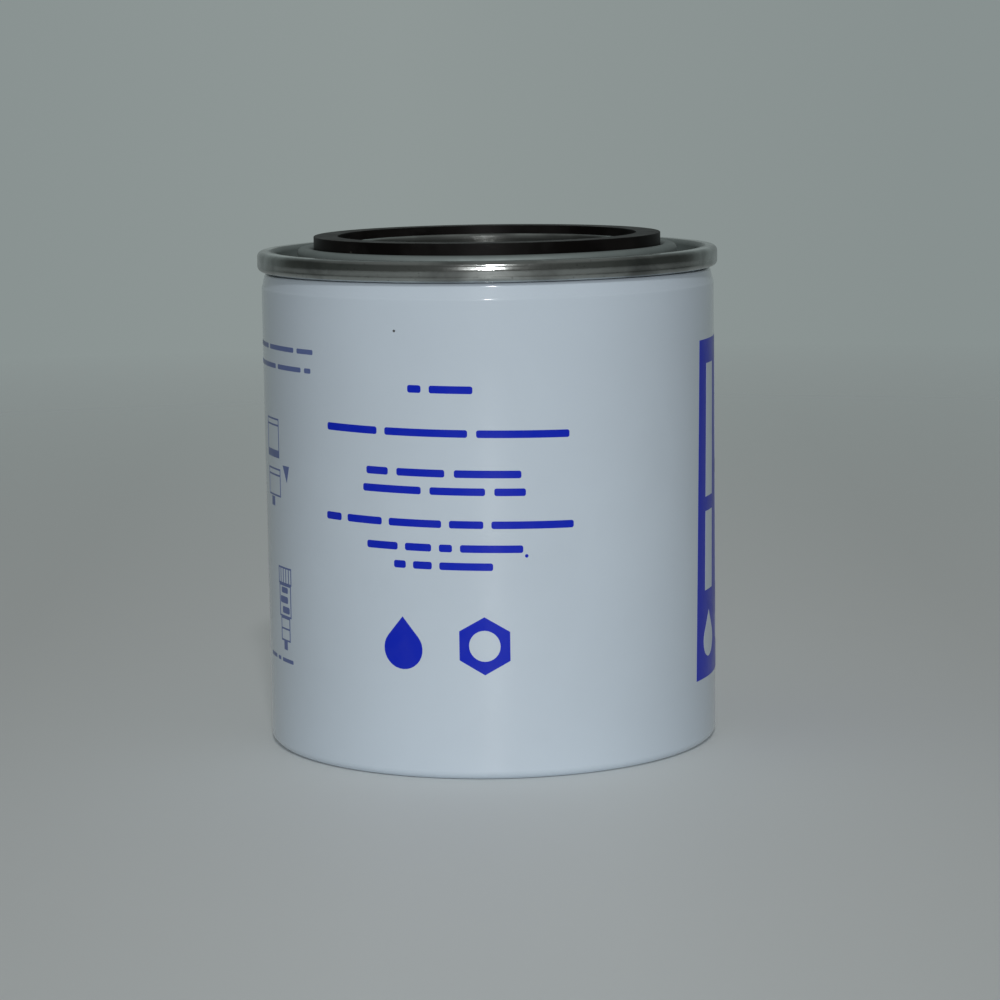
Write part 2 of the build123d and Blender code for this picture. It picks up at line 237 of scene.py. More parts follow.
class FinishColours(PropertyGroup):
    """Colours of the finishes."""

    enamel: colour("Enamel", "White enamel of the can", 0.54, 0.62, 0.7)
    ink: colour("Ink", "Blue print", 0.004, 0.018, 0.46)
    side_ink: colour("Side ink", "Fine print on the side, thinner than the rest", 0.11, 0.15, 0.33)
    tinplate: colour("Tinplate", "Bright tinned sheet of the lid", 0.42, 0.44, 0.43)
    matt_tin: colour("Matt tin", "Dull tin of the lid inside its seam", 0.225, 0.265, 0.26)
    # Painted shade: dark tin on the crest's inner side, where the lid lies in shade inside the gasket
    painted_shade_tin: colour("Shaded crest tin", "Tin under a film of oil, on the crest's inner side", 0.12, 0.125, 0.12)
    gasket: colour("Gasket", "Black nitrile of the head gasket", 0.0035, 0.003, 0.0028)
    dust: colour("Dust", "Settled dust", 0.19, 0.18, 0.165)
    dirt: colour("Dirt", "Speck of dirt caught in the enamel", 0.07, 0.075, 0.08)
    zinc: colour("Zinc", "Plated steel of the plate and the port", 0.6, 0.6, 0.58)
    galvanised: colour("Galvanised", "Galvanised sheet of the end caps", 0.52, 0.53, 0.53)
    grommet: colour("Grommet", "Nitrile of the seal inside", 0.028, 0.03, 0.03)
    paper: colour("Paper", "Resin-treated filter paper", 0.66, 0.5, 0.27)
    potting: colour("Potting", "Cured adhesive in the end caps", 0.36, 0.09, 0.05)
    nylon: colour("Nylon", "Moulded core", 0.05, 0.052, 0.056)
    spring: colour("Spring", "Oiled spring sheet", 0.33, 0.34, 0.36)


class StageSizes(PropertyGroup):
    """Floor, light and camera."""

    floor_radius: length("Floor radius", "Radius of the floor", 1000)
    clear_radius: length("Clear radius", "Where the floor starts to fade into the background", 150)
    floor: colour("Floor", "Pale paper floor, at its sides", 0.615, 0.645, 0.645)
    # Painted light: the floor is paler along its middle, standing in for the lamps' pool of light
    painted_floor_light: colour("Floor middle", "Paler middle of the floor", 0.74, 0.78, 0.79)
    background: colour("Background", "Past the floor, in the middle", 0.275, 0.314, 0.309)
    # Painted shade: the backdrop is darker at its sides
    background_edge: colour("Background edge", "Past the floor, at the sides", 0.246, 0.283, 0.279)
    wall_behind: colour("Wall behind", "Soft light from behind the part", 0.33, 0.35, 0.35)
    room_beside: colour("Room beside", "Soft light from the sides", 0.06, 0.066, 0.062)
    room_in_front: colour("Room in front", "Soft light from the camera's side", 0.1, 0.105, 0.1)
    ceiling: colour("Ceiling", "Soft light from above", 0.2, 0.21, 0.205)
    lamp_distance: length("Lamp distance", "Lamps to the middle of the base", 3000)
    lamp_size: length("Lamp size", "Diameter of each lamp", 270)
    key_power: number("Key power", "Power of the high lamp", 20, unit="POWER")
    key_height: angle("Key height", "High lamp above the floor", radians(42))
    key_turn: angle("Key turn", "High lamp to the right", radians(2.8))
    fill_power: number("Fill power", "Power of the low lamp", 36, unit="POWER")
    fill_height: angle("Fill height", "Low lamp above the floor", radians(15))
    fill_turn: angle("Fill turn", "Low lamp to the right", radians(0.4))
    camera_distance: length("Camera distance", "Camera in front of the can's axis", 642.884)
    camera_height: length("Camera height", "Camera above the floor", 140.593)
    camera_turn: angle("Camera turn", "Turn to the right", 0.003004)
    camera_tilt: angle("Camera tilt", "Tilt down", 0.141054)
    camera_roll: angle("Camera roll", "Roll about the view", -0.014376)
    camera_lens: number("Lens", "Focal length on a 36 mm sensor", 111.084, unit="CAMERA")


class SeparatorSettings(PropertyGroup):
    """Everything that the sidebar shows."""

    can: PointerProperty(type=CanSizes)
    lid: PointerProperty(type=LidSizes)
    gasket: PointerProperty(type=GasketSizes)
    plate: PointerProperty(type=PlateSizes)
    port: PointerProperty(type=PortSizes)
    ink: PointerProperty(type=PrintSizes)
    colours: PointerProperty(type=FinishColours)
    stage: PointerProperty(type=StageSizes)


# Sections and turned meshes


def rounded(corners, bends):
    """Points of a path from corner to corner, with an arc of the given radius at each inner corner."""
    points = [corners[0]]
    for before, corner, after, bend in zip(corners, corners[1:], corners[2:], bends):
        arrive = (corner - before).normalized()
        leave = (after - corner).normalized()
        turn = atan2(arrive.x * leave.y - arrive.y * leave.x, arrive.dot(leave))
        if bend <= 0:
            points.append(corner)
            continue
        start = corner - arrive * bend * tan(abs(turn) / 2)
        side = Vector((-arrive.y, arrive.x)) * (1 if turn > 0 else -1)
        centre = start + side * bend
        steps = max(2, ceil(abs(turn) / BEND_STEP))
        for step in range(steps + 1):
            points.append(centre + Matrix.Rotation(turn * step / steps, 2) @ (start - centre))
    points.append(corners[-1])
    return points


def bent_sheet(corners, bends, sheet):
    """Closed section of a bent sheet. The corners are those of one skin, and the other lies to its left."""
    skin = [Vector(corner) for corner in corners]
    runs = [(end - start).normalized() for start, end in zip(skin, skin[1:])]
    sides = [Vector((-run.y, run.x)) for run in runs]
    neighbours = list(zip([sides[0]] + sides, sides + [sides[-1]]))
    back = [
        corner + (before + after) * sheet / (1 + before.dot(after))
        for corner, (before, after) in zip(skin, neighbours)
    ]
    lefts = [before.x * after.y - before.y * after.x > 0 for before, after in neighbours[1:-1]]
    back_bends = [bend and (bend - sheet if left else bend + sheet) for bend, left in zip(bends, lefts)]
    return rounded(skin, bends) + rounded(back, back_bends)[::-1]


def ring(point, segments):
    """One level circle through a section's point."""
    return [
        Vector((point[0] * cos(turn), point[0] * sin(turn), point[1]))
        for turn in (2 * pi * segment / segments for segment in range(segments))
    ]


def thread_rings(minor, pitch, foot, top, segments):
    """Rings of an internal 60 degree thread, cut outwards from its minor radius, from its top to its foot."""
    rows = ceil((top - foot) / pitch * THREAD_ROWS)
    rings = []
    for row in range(rows, -1, -1):
        height = foot + (top - foot) * row / rows
        depth = THREAD_DEPTH * pitch * min(1, (height - foot) / pitch * 2, (top - height) / pitch * 2)
        level = []
        for turn in (segment / segments for segment in range(segments)):
            wave = abs((height / pitch - turn) % 1 * 2 - 1)
            radius = minor + depth * min(1, max(0, wave * 1.5 - 0.25))
            level.append(Vector((radius * cos(2 * pi * turn), radius * sin(2 * pi * turn), height)))
        rings.append(level)
    return rings


def turned_mesh(name, rings):
    """Closed mesh through rings that follow each other round a section, the last joined to the first."""
    shape = bmesh.new()
    loops = [[shape.verts.new(point) for point in level] for level in rings]
    for level, following in zip(loops, loops[1:] + loops[:1]):
        for here, there in zip(range(len(level)), list(range(1, len(level))) + [0]):
            shape.faces.new((level[here], level[there], following[there], following[here]))
    bmesh.ops.recalc_face_normals(shape, faces=shape.faces)
    return smoothed(plain_mesh(name, shape))


def plain_mesh(name, shape):
    """Mesh of a shape, which is then freed."""
    mesh = bpy.data.meshes.new(name)
    shape.to_mesh(mesh)
    shape.free()
    return mesh


def smoothed(mesh):
    """The mesh with smooth faces and sharp creases."""
    mesh.shade_smooth()
    mesh.set_sharp_from_angle(angle=SHARP_ANGLE)
    return mesh


def lathe(name, section):
    """Mesh of a closed section turned about the axis."""
    return turned_mesh(name, [ring(point, TURNED_SEGMENTS) for point in section])


def add_object(name, data):
    """New object in the scene."""
    made = bpy.data.objects.new(name, data)
    bpy.context.scene.collection.objects.link(made)
    return made


def add_piece(mesh, finish, slot, *replaced):
    """Add a piece that rides on the part. The slot is not used, and the piece may replace CAD nodes."""
    piece = add_object(mesh.name, mesh)
    mesh.materials.append(bpy.data.materials[finish])
    piece.modifiers.new("Even shading", "WEIGHTED_NORMAL").keep_sharp = True
    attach(piece, BODY)
    if replaced:
        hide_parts(*replaced)
    return piece


def levels(settings):
    """Heights and radii that more than one piece needs, worked out from the settings."""
    can, lid, gasket, port = settings.can, settings.lid, settings.gasket, settings.port
    at = SimpleNamespace(rim=lid_top.z - lid.crest_rise - lid.land_rise)
    at.seam_foot = at.rim - can.seam_height
    at.hook_fold = at.rim - lid.sheet - can.seam_gap - can.sheet
    at.body_hook = lid.panel_radius - lid.sheet - can.seam_gap
    at.cover_hook = at.body_hook - can.sheet - can.seam_gap
    at.neck = at.cover_hook - lid.sheet - can.seam_gap
    at.groove_inner = gasket.outer_radius - gasket.width - lid.groove_clearance
    at.crest_inner = at.groove_inner - lid.crest_width
    at.slope_foot = at.crest_inner - lid.crest_slope
    at.opening = at.slope_foot - lid.ledge
    at.port_bore = port.flange_radius - port.flange_width - port.wall
    return at


# Shader nodes


def add_node(tree, kind, inputs=None, **settings):
    """Add a node, set its properties, and set or link its inputs. A plain colour has three parts."""
    made = tree.nodes.new("ShaderNode" + kind)
    for name, value in settings.items():
        setattr(made, name, value)
    for name, value in (inputs or {}).items():
        socket = made.inputs[name]
        if isinstance(value, bpy.types.NodeSocket):
            tree.links.new(value, socket)
        else:
            socket.default_value = (*value, 1) if socket.type == "RGBA" else value
    row, column = divmod(len(tree.nodes), 6)
    made.location = (220 * column, -220 * row)
    return made


def math(tree, operation, first, second=0.0):
    """Output of a math node."""
    return add_node(tree, "Math", {0: first, 1: second}, operation=operation).outputs[0]


def spread(tree, value, low, high, new_low=0.0, new_high=1.0, **settings):
    """Output of a map range node that clamps."""
    inputs = {"Value": value, "From Min": low, "From Max": high, "To Min": new_low, "To Max": new_high}
    return add_node(tree, "MapRange", inputs, **settings).outputs[0]


def mix_colour(tree, factor, first, second):
    """Output of a colour mix. The two colours may be plain or linked."""
    return add_node(tree, "Mix", {0: factor, 6: first, 7: second}, data_type="RGBA").outputs[2]


def bump(tree, height, distance, normal=None):
    """Normal from a height between 0 and 1 over a depth in metres, laid over a normal if one is given."""
    inputs = {"Height": height, "Distance": distance}
    if normal:
        inputs["Normal"] = normal
    return add_node(tree, "Bump", inputs).outputs["Normal"]


def object_place(tree):
    """Place in the part's frame."""
    return add_node(tree, "TexCoord").outputs["Object"]


def around_axis(tree):
    """Parts of the place in the part's frame, and its distance from the axis."""
    place = object_place(tree)
    split = add_node(tree, "SeparateXYZ", {0: place}).outputs
    flat = add_node(tree, "VectorMath", {0: place, 1: (1, 1, 0)}, operation="MULTIPLY").outputs[0]
    return split, add_node(tree, "VectorMath", {0: flat}, operation="LENGTH").outputs["Value"]


def new_group(name, inputs, outputs):
    """Shader group with named float sockets. Returns its tree, its input sockets and its output sockets."""
    tree = bpy.data.node_groups.new(name, "ShaderNodeTree")
    for in_out, labels in (("INPUT", inputs), ("OUTPUT", outputs)):
        for label in labels:
            tree.interface.new_socket(label, in_out=in_out, socket_type="NodeSocketFloat")
    for label, default in inputs.items():
        tree.interface.items_tree[label].default_value = default
    return tree, tree.nodes.new("NodeGroupInput").outputs, tree.nodes.new("NodeGroupOutput").inputs


def turned_grain_group():
    """Fine lines that run round the axis, as rolling and spinning leave them."""
    tree, given, result = new_group("Turned grain", {"Around": 300.0, "Across": 9000.0}, ["Grain"])
    split, radius = around_axis(tree)
    lines = {axis: math(tree, "MULTIPLY", split[axis], given["Around"]) for axis in ("X", "Y")}
    lines["Z"] = math(tree, "MULTIPLY", math(tree, "ADD", radius, split["Z"]), given["Across"])
    stretched = add_node(tree, "CombineXYZ", lines).outputs[0]
    noise = add_node(tree, "TexNoise", {"Vector": stretched, "Scale": 1.0, "Detail": 3.0})
    tree.links.new(noise.outputs["Fac"], result["Grain"])


def patches_group():
    """Soft uneven patches, from handling, plating or rolling."""
    tree, given, result = new_group("Patches", {"Scale": 60.0, "Contrast": 1.0}, ["Patch"])
    inputs = {"Vector": object_place(tree), "Scale": given["Scale"], "Detail": 4.0, "Roughness": 0.55}
    noise = add_node(tree, "TexNoise", {**inputs, "Distortion": 0.4})
    centred = math(tree, "SUBTRACT", noise.outputs["Fac"], 0.5)
    stretched = math(tree, "MULTIPLY", centred, given["Contrast"])
    tree.links.new(spread(tree, stretched, -0.25, 0.25), result["Patch"])


def specks_group():
    """Scattered small round specks. Amount is the share of cells that hold one, and Size their radius."""
    tree, given, result = new_group("Specks", {"Scale": 400.0, "Amount": 0.05, "Size": 0.2}, ["Specks"])
    cells = add_node(tree, "TexVoronoi", {"Vector": object_place(tree), "Scale": given["Scale"]})
    chance = add_node(tree, "SeparateColor", {0: cells.outputs["Color"]}).outputs[0]
    chosen = math(tree, "LESS_THAN", chance, given["Amount"])
    ratio = math(tree, "DIVIDE", cells.outputs["Distance"], given["Size"])
    round_speck = spread(tree, ratio, 0.7, 1.0, 1.0, 0.0)
    tree.links.new(math(tree, "MULTIPLY", chosen, round_speck), result["Specks"])


def settled_dust_group():
    """Dust that lies on faces that look up."""
    tree, given, result = new_group("Settled dust", {"Scale": 900.0, "Cover": 0.5}, ["Dust"])
    normal = add_node(tree, "NewGeometry").outputs["Normal"]
    facing = spread(tree, add_node(tree, "SeparateXYZ", {0: normal}).outputs["Z"], 0.5, 0.95)
    inputs = {"Vector": object_place(tree), "Scale": given["Scale"], "Detail": 5.0}
    grains = spread(tree, add_node(tree, "TexNoise", inputs).outputs["Fac"], 0.35, 0.7)
    cover = math(tree, "MULTIPLY", math(tree, "MULTIPLY", facing, grains), given["Cover"])
    tree.links.new(cover, result["Dust"])


def fine_bumps_group():
    """Small even relief: orange peel on enamel and the tooth of a mould on rubber."""
    tree, given, result = new_group("Fine bumps", {"Scale": 1500.0}, ["Height"])
    inputs = {"Vector": object_place(tree), "Scale": given["Scale"], "Detail": 2.0}
    tree.links.new(add_node(tree, "TexNoise", inputs).outputs["Fac"], result["Height"])


def rolled_seam_group():
    """A slight crown round the seam, tin that is bright there and on the crest, and painted shade inside the
    crest.
    """
    heights = {"Foot": 0.1, "Peak": 0.101, "Top": 0.102}
    radii = {"Radius": 0.047, "Burnished": 0.045, "Crest": 0.031, "Slope": 0.029}
    tree, given, result = new_group("Rolled seam", {**heights, **radii}, ["Height", "Burnish", "Oil"])
    split, radius = around_axis(tree)
    smooth = {"interpolation_type": "SMOOTHSTEP"}
    rise = spread(tree, split["Z"], given["Foot"], given["Peak"], **smooth)
    fall = spread(tree, split["Z"], given["Peak"], given["Top"], 1.0, 0.0, **smooth)
    outside = math(tree, "GREATER_THAN", radius, given["Radius"])
    tree.links.new(math(tree, "MULTIPLY", math(tree, "MULTIPLY", rise, fall), outside), result["Height"])
    past_rollers = math(tree, "SUBTRACT", radius, given["Burnished"])
    past_crest = math(tree, "SUBTRACT", given["Crest"], radius)
    past = math(tree, "MAXIMUM", past_rollers, past_crest)
    tree.links.new(spread(tree, past, -0.5 * MM, 0.5 * MM), result["Burnish"])
    # Painted shade: a mask for dark tin inward of the crest's inner edge
    past_slope = math(tree, "SUBTRACT", given["Slope"], radius)
    tree.links.new(spread(tree, past_slope, 0.15 * MM, 0.6 * MM), result["Oil"])


def effect(tree, group, output=0, **inputs):
    """Place a shared effect with its own values and return one of its outputs."""
    made = add_node(tree, "Group", node_tree=bpy.data.node_groups[group])
    for label, value in inputs.items():
        made.inputs[label.capitalize()].default_value = value
    return made.outputs[output]


def new_material(name, constants=None):
    """Material with one Principled shader, whose own sockets hold the constants. Returns its tree."""
    material = bpy.data.materials.new(name)
    material.use_nodes = True
    tree = material.node_tree
    for label, value in (constants or {}).items():
        tree.nodes["Principled BSDF"].inputs[label].default_value = value
    return tree


def connect(tree, base_color, roughness, normal=None, alpha=None):
    """Link outputs to the Principled shader's inputs."""
    wanted = {"Base Color": base_color, "Roughness": roughness, "Normal": normal, "Alpha": alpha}
    for label, output in wanted.items():
        if output:
            tree.links.new(output, tree.nodes["Principled BSDF"].inputs[label])


def shade(tint, share, lift=0.0):
    """A share of a colour, lifted a little."""
    return tuple(share * part + lift for part in tint)


# Finishes


def white_enamel(name, tint):
    """Glossy baked enamel with a faint orange peel, a few specks and slightly uneven gloss."""
    tree = new_material(name, {"Coat Weight": 1.0, "Coat Roughness": 0.03, "Specular IOR Level": 0.12})
    patch = effect(tree, "Patches", scale=38.0, contrast=1.0)
    specks = effect(tree, "Specks", scale=260.0, amount=0.002, size=0.13)
    base = mix_colour(tree, specks, mix_colour(tree, patch, tint, shade(tint, 0.95)), shade(tint, 0.25))
    peel = bump(tree, effect(tree, "Fine bumps", scale=1300.0), 0.004 * MM)
    connect(tree, base, spread(tree, patch, 0.0, 1.0, 0.3, 0.42), peel)


def print_ink(name, tint):
    """Screen ink: dense, a little thinner in places, and slightly less glossy than the enamel."""
    tree = new_material(name, {"Coat Weight": 0.25, "Coat Roughness": 0.05, "Specular IOR Level": 0.08})
    patch = effect(tree, "Patches", scale=220.0, contrast=1.2)
    base = mix_colour(tree, spread(tree, patch, 0.2, 1.0, 0.0, 0.5), tint, shade(tint, 0.94, 0.012))
    peel = bump(tree, effect(tree, "Fine bumps", scale=2600.0), 0.003 * MM)
    connect(tree, base, spread(tree, patch, 0.0, 1.0, 0.3, 0.42), peel)


def sheet_metal(name, tint, gloss, grain, waves, wear=0.55):
    """Bare or plated sheet: grain round the axis, uneven sheen, and slow waves from the rollers.

    gloss is the least and the most roughness, grain its scales round and across and its depth, and waves the
    patches' scale and the waves' depth.
    """
    tree = new_material(name, {"Metallic": 1.0})
    lines = effect(tree, "Turned grain", around=grain[0], across=grain[1])
    patch = effect(tree, "Patches", scale=waves[0], contrast=1.4)
    pits = math(tree, "MULTIPLY", effect(tree, "Specks", scale=1500.0, amount=0.22, size=0.3), 0.6 * wear)
    worn = math(tree, "MAXIMUM", spread(tree, patch, 0.35, 1.0, 0.0, wear), pits)
    sheen = math(tree, "ADD", math(tree, "MULTIPLY", lines, 0.4), math(tree, "MULTIPLY", patch, 0.6))
    slow = effect(tree, "Patches", scale=waves[0] * 1.7, contrast=0.8)
    relief = bump(tree, slow, waves[1], bump(tree, lines, grain[2]))
    base = mix_colour(tree, worn, tint, shade(tint, 1 - 0.7 * wear))
    connect(tree, base, spread(tree, sheen, 0.2, 0.8, *gloss), relief)


def roll_seam(name, can, at, matt, crest_shade):
    """Give tinplate the seam's crown and burnish. It is matt inside the seam, and inside the crest it is
    painted dark as shade.
    """
    tree = bpy.data.materials[name].node_tree
    inputs = tree.nodes["Principled BSDF"].inputs
    bright, sheen, relief = (
        inputs[label].links[0].from_socket for label in ("Base Color", "Roughness", "Normal")
    )
    places = {
        "foot": at.rim - can.crown_foot,
        "peak": at.rim - can.crown_peak,
        "top": at.rim - can.crown_top,
        "radius": can.radius,
        "burnished": can.burnished,
        "crest": at.groove_inner,
        "slope": at.crest_inner,
    }
    height, burnish, painted_shade = (effect(tree, "Rolled seam", output, **places) for output in range(3))
    patch = effect(tree, "Patches", scale=150.0, contrast=1.2)
    dull = mix_colour(tree, patch, matt, shade(matt, 0.86))
    # Painted shade: the tin turns dark inside the crest
    tin = mix_colour(tree, painted_shade, mix_colour(tree, burnish, dull, bright), crest_shade)
    satin = spread(tree, patch, 0.0, 1.0, 0.58, 0.68)
    rough = add_node(tree, "Mix", {0: burnish, 2: satin, 3: sheen}).outputs[0]
    tree.links.new(spread(tree, burnish, 0.0, 1.0, 0.5), inputs["Metallic"])
    connect(tree, tin, rough, bump(tree, height, can.crown_depth, relief))


def galvanised_sheet(name, tint):
    """Galvanised steel with its spangle: crystals that differ in tone and sheen."""
    tree = new_material(name, {"Metallic": 1.0})
    cells = add_node(tree, "TexVoronoi", {"Vector": object_place(tree), "Scale": 330.0, "Randomness": 1.0})
    tone = add_node(tree, "SeparateColor", {0: cells.outputs["Color"]}).outputs[0]
    grain = bump(tree, effect(tree, "Turned grain", around=700.0, across=5000.0), 0.004 * MM)
    base = mix_colour(tree, tone, tint, shade(tint, 0.72))
    connect(tree, base, spread(tree, tone, 0.0, 1.0, 0.34, 0.52), grain)


def moulded_rubber(name, tint, dust, cover):
    """Moulded nitrile: fine tooth, bloom in patches, and dust on what looks up."""
    tree = new_material(name, {"Specular IOR Level": 0.08})
    patch = effect(tree, "Patches", scale=120.0, contrast=1.3)
    lying = effect(tree, "Settled dust", scale=700.0, cover=cover)
    fibres = math(tree, "MULTIPLY", effect(tree, "Specks", scale=620.0, amount=0.05, size=0.16), 0.25)
    bloomed = mix_colour(tree, spread(tree, patch, 0.3, 1.0, 0.0, 0.7), tint, shade(tint, 1.5, 0.006))
    base = mix_colour(tree, math(tree, "MAXIMUM", lying, fibres), bloomed, dust)
    tooth = bump(tree, effect(tree, "Fine bumps", scale=4200.0), 0.012 * MM)
    connect(tree, base, spread(tree, patch, 0.0, 1.0, 0.4, 0.52), tooth)


def treated_paper(name, tint):
    """Resin-treated filter paper: felted fibres and a slightly blotched tan."""
    tree = new_material(name)
    patch = effect(tree, "Patches", scale=90.0, contrast=1.2)
    fibres = effect(tree, "Fine bumps", scale=3200.0)
    tone = math(tree, "MULTIPLY", math(tree, "ADD", patch, fibres), 0.5)
    base = mix_colour(tree, tone, tint, shade(tint, 0.72))
    connect(tree, base, spread(tree, patch, 0.0, 1.0, 0.78, 0.9), bump(tree, fibres, 0.05 * MM))


def cast_compound(name, tint, rough, void_share, tooth):
    """Cured adhesive or moulded plastic: even colour with small voids and a light tooth."""
    tree = new_material(name)
    patch = effect(tree, "Patches", scale=75.0, contrast=1.1)
    voids = effect(tree, "Specks", scale=500.0, amount=void_share, size=0.24)
    base = mix_colour(tree, voids, mix_colour(tree, patch, tint, shade(tint, 0.8)), shade(tint, 0.5))
    relief = bump(tree, effect(tree, "Fine bumps", scale=2400.0), tooth)
    connect(tree, base, spread(tree, patch, 0.0, 1.0, rough - 0.06, rough + 0.06), relief)


# Finishes of the CAD nodes that keep their shape
INNER_FINISHES = {
    "element_grommet": "grommet_nitrile",
    "top_end_cap": "galvanised_cap",
    "bottom_end_cap": "galvanised_cap",
    "pleated_media": "filter_paper",
    "top_potting": "cured_adhesive",
    "bottom_potting": "cured_adhesive",
    "center_tube": "moulded_nylon",
    "support_spring": "oiled_spring",
}


# Print on the unrolled wall


def rectangle(left, foot, width, height):
    """Corners of an upright rectangle."""
    return [(left, foot), (left + width, foot), (left + width, foot + height), (left, foot + height)]


def oval(middle, height, width, tall, points=28):
    """Points of an ellipse, or a polygon if there are few of them."""
    turns = [2 * pi * point / points + pi / 2 for point in range(points)]
    return [(middle + cos(turn) * width / 2, height + sin(turn) * tall / 2) for turn in turns]


def bar(left, middle, width, height):
    """Bar with rounded corners."""
    corner, points = 0.3 * height, 4
    left, right = left + corner, left + width - corner
    foot, top = middle - height / 2 + corner, middle + height / 2 - corner
    return [
        (across + corner * cos(turn), up + corner * sin(turn))
        for quarter, (across, up) in enumerate(((right, foot), (right, top), (left, top), (left, foot)))
        for turn in (pi / 2 * (quarter - 1 + point / points) for point in range(points + 1))
    ]


def drop(middle, height, width, tall):
    """Drop with a round foot and a point at its top."""
    reach, lift, points = width / 2, radians(38), 22
    foot = height - tall / 2 + reach
    turns = [lift + (-pi - 2 * lift) * point / points for point in range(points + 1)]
    arc = [(middle + reach * cos(turn), foot + reach * sin(turn)) for turn in turns]
    return [(middle, height + tall / 2)] + arc


def outline(left, foot, width, height, line):
    """Frame of even line width, as an outer and an inner loop."""
    return [
        rectangle(left, foot, width, height),
        rectangle(left + line, foot + line, width - 2 * line, height - 2 * line),
    ]


def bar_line(start, height, unit, lengths, thickness):
    """A line of bars with lengths in units, and a gap of one unit between them."""
    bars = []
    for units in lengths:
        bars.append([bar(start, height, (units - BAR_GAP) * unit, thickness)])
        start += (units + 1) * unit
    return bars


def ink_film(name, shapes, finish, settings, slant=0.0, lean=0.0, lift=0.0):
    """Closed film of ink on the can's wall. Each shape is an outer loop and any holes, in metres.

    The first coordinate runs round the wall to the right from the front, and the second runs up.
    """
    ink, wall = settings.ink, settings.can.radius
    shape = bmesh.new()
    for loops in shapes:
        edges = []
        for loop in loops:
            corners = [shape.verts.new((across + lean * (up - ink.band_foot), up, 0)) for across, up in loop]
            edges += [shape.edges.new(pair) for pair in zip(corners, corners[1:] + corners[:1])]
        bmesh.ops.triangle_fill(shape, use_beauty=True, use_dissolve=False, edges=edges)
    spots = [vertex.co.x for vertex in shape.verts]
    step = FILM_STEP * wall
    for cut in range(ceil(min(spots) / step), ceil(max(spots) / step)):
        everything = shape.verts[:] + shape.edges[:] + shape.faces[:]
        bmesh.ops.bisect_plane(shape, geom=everything, plane_co=(cut * step, 0, 0), plane_no=(1, 0, 0))
    front = bmesh.ops.extrude_face_region(shape, geom=shape.faces[:], use_keep_orig=True)["geom"]
    raised = [item for item in front if isinstance(item, bmesh.types.BMVert)]
    bmesh.ops.translate(shape, verts=raised, vec=(0, 0, ink.film + ink.footing))
    for vertex in shape.verts:
        across, up, out = vertex.co
        radius = wall - ink.footing + lift + out
        around = across / wall
        vertex.co = (radius * sin(around), -radius * cos(around), up - slant * (across - ink.middle))
    bmesh.ops.recalc_face_normals(shape, faces=shape.faces)
    add_piece(smoothed(plain_mesh(name, shape)), finish, "white_enamel")


# Lines of the front print: height and unit in millimetres, and the bars' lengths in units
FRONT_LINES = (
    (77.65, 1.47, (2, 6)),
    (69.1, 1.56, (8, 11, 12)),
    (61.2, 1.68, (3, 6, 8)),
    (57.7, 1.6, (8, 7, 4)),
    (51.2, 1.39, (3, 6, 8, 5, 12)),
    (46.45, 1.4, (5, 4, 2, 9)),
    (42.9, 1.35, (2, 3, 8)),
)


def front_print(ink):
    """Lines of bars, two plain marks and a stray dot on the front."""
    shapes = []
    for height, unit, lengths in FRONT_LINES:
        width = (sum(lengths) + len(lengths) - 1) * unit * MM
        start = ink.middle - width / 2
        shapes += bar_line(start, height * MM, unit * MM, lengths, ink.bar_height)
    mark_height = 27.15 * MM
    shapes.append([drop(ink.middle - 8.5 * MM, mark_height, 8.2 * MM, 10.6 * MM)])
    nut, outside, bore, dot = ink.middle + 8.1 * MM, 11.6 * MM, 6.2 * MM, 0.7 * MM
    shapes.append([oval(nut, mark_height, outside, outside, 6), oval(nut, mark_height, bore, bore, 32)])
    shapes.append([oval(6.9 * MM, 45.1 * MM, dot, dot)])
    return shapes


# Figures of the side print, in millimetres from their place and above the base: left, foot, width and
# height of each frame and block, left, middle, width and height of each bar, and the corners of an arrowhead
SIDE_PLACES = (-54.2, -76.0)
SIDE_LINE = 0.36
SIDE_FRAMES = (
    (-8.2, 61.2, 8.2, 8.1),
    (-7.8, 53.2, 8.2, 5.8),
    (-2.0, 35.4, 6.7, 3.6),
    (-1.7, 28.6, 6.1, 6.8),
    (-1.0, 23.6, 4.7, 5.0),
)
SIDE_BLOCKS = (
    (-7.84, 67.7, 7.48, SIDE_LINE),
    (-7.84, 61.56, 7.48, 1.2),
    (-7.44, 57.4, 7.48, SIDE_LINE),
    (-5.6, 51.1, 2.2, 1.9),
    (-0.64, 26.0, 3.98, SIDE_LINE),
    (0.4, 21.8, 1.8, 1.8),
    *((left, 35.76, SIDE_LINE, 2.88) for left in (-0.84, 0.5, 1.84, 3.18)),
)
SIDE_BARS = ((-0.4, 34.2, 3.3, 1.2), (-1.1, 32.2, 4.0, 1.4), (0.0, 30.1, 3.6, 1.4))
SIDE_ARROWHEAD = ((1.8, 60.0), (4.9, 60.0), (3.7, 56.6))


def from_place(place, left, *rest):
    """Metres on the wall, from millimetres of which the first run from a place."""
    return [part * MM for part in (place + left, *rest)]


def side_print(ink):
    """Two fine lines, framed figures and a short line under them, on the left of the can."""
    shapes = bar_line(-108.3 * MM, 83.9 * MM, 1.13 * MM, (9, 4, 11, 3, 12, 11, 5), ink.fine_bar_height)
    shapes += bar_line(-109.1 * MM, 80.1 * MM, 1.13 * MM, (5, 3, 8, 6, 9, 12, 9, 2), ink.fine_bar_height)
    for place in SIDE_PLACES:
        shapes += [outline(*from_place(place, *frame), SIDE_LINE * MM) for frame in SIDE_FRAMES]
        shapes += [[rectangle(*from_place(place, *block))] for block in SIDE_BLOCKS]
        shapes += [[bar(*from_place(place, *thick))] for thick in SIDE_BARS]
        shapes.append([[from_place(place, *corner) for corner in SIDE_ARROWHEAD]])
        shapes += bar_line((place - 9.3) * MM, 19.6 * MM, 0.95 * MM, (5, 2, 6), 0.8 * MM)
    return shapes


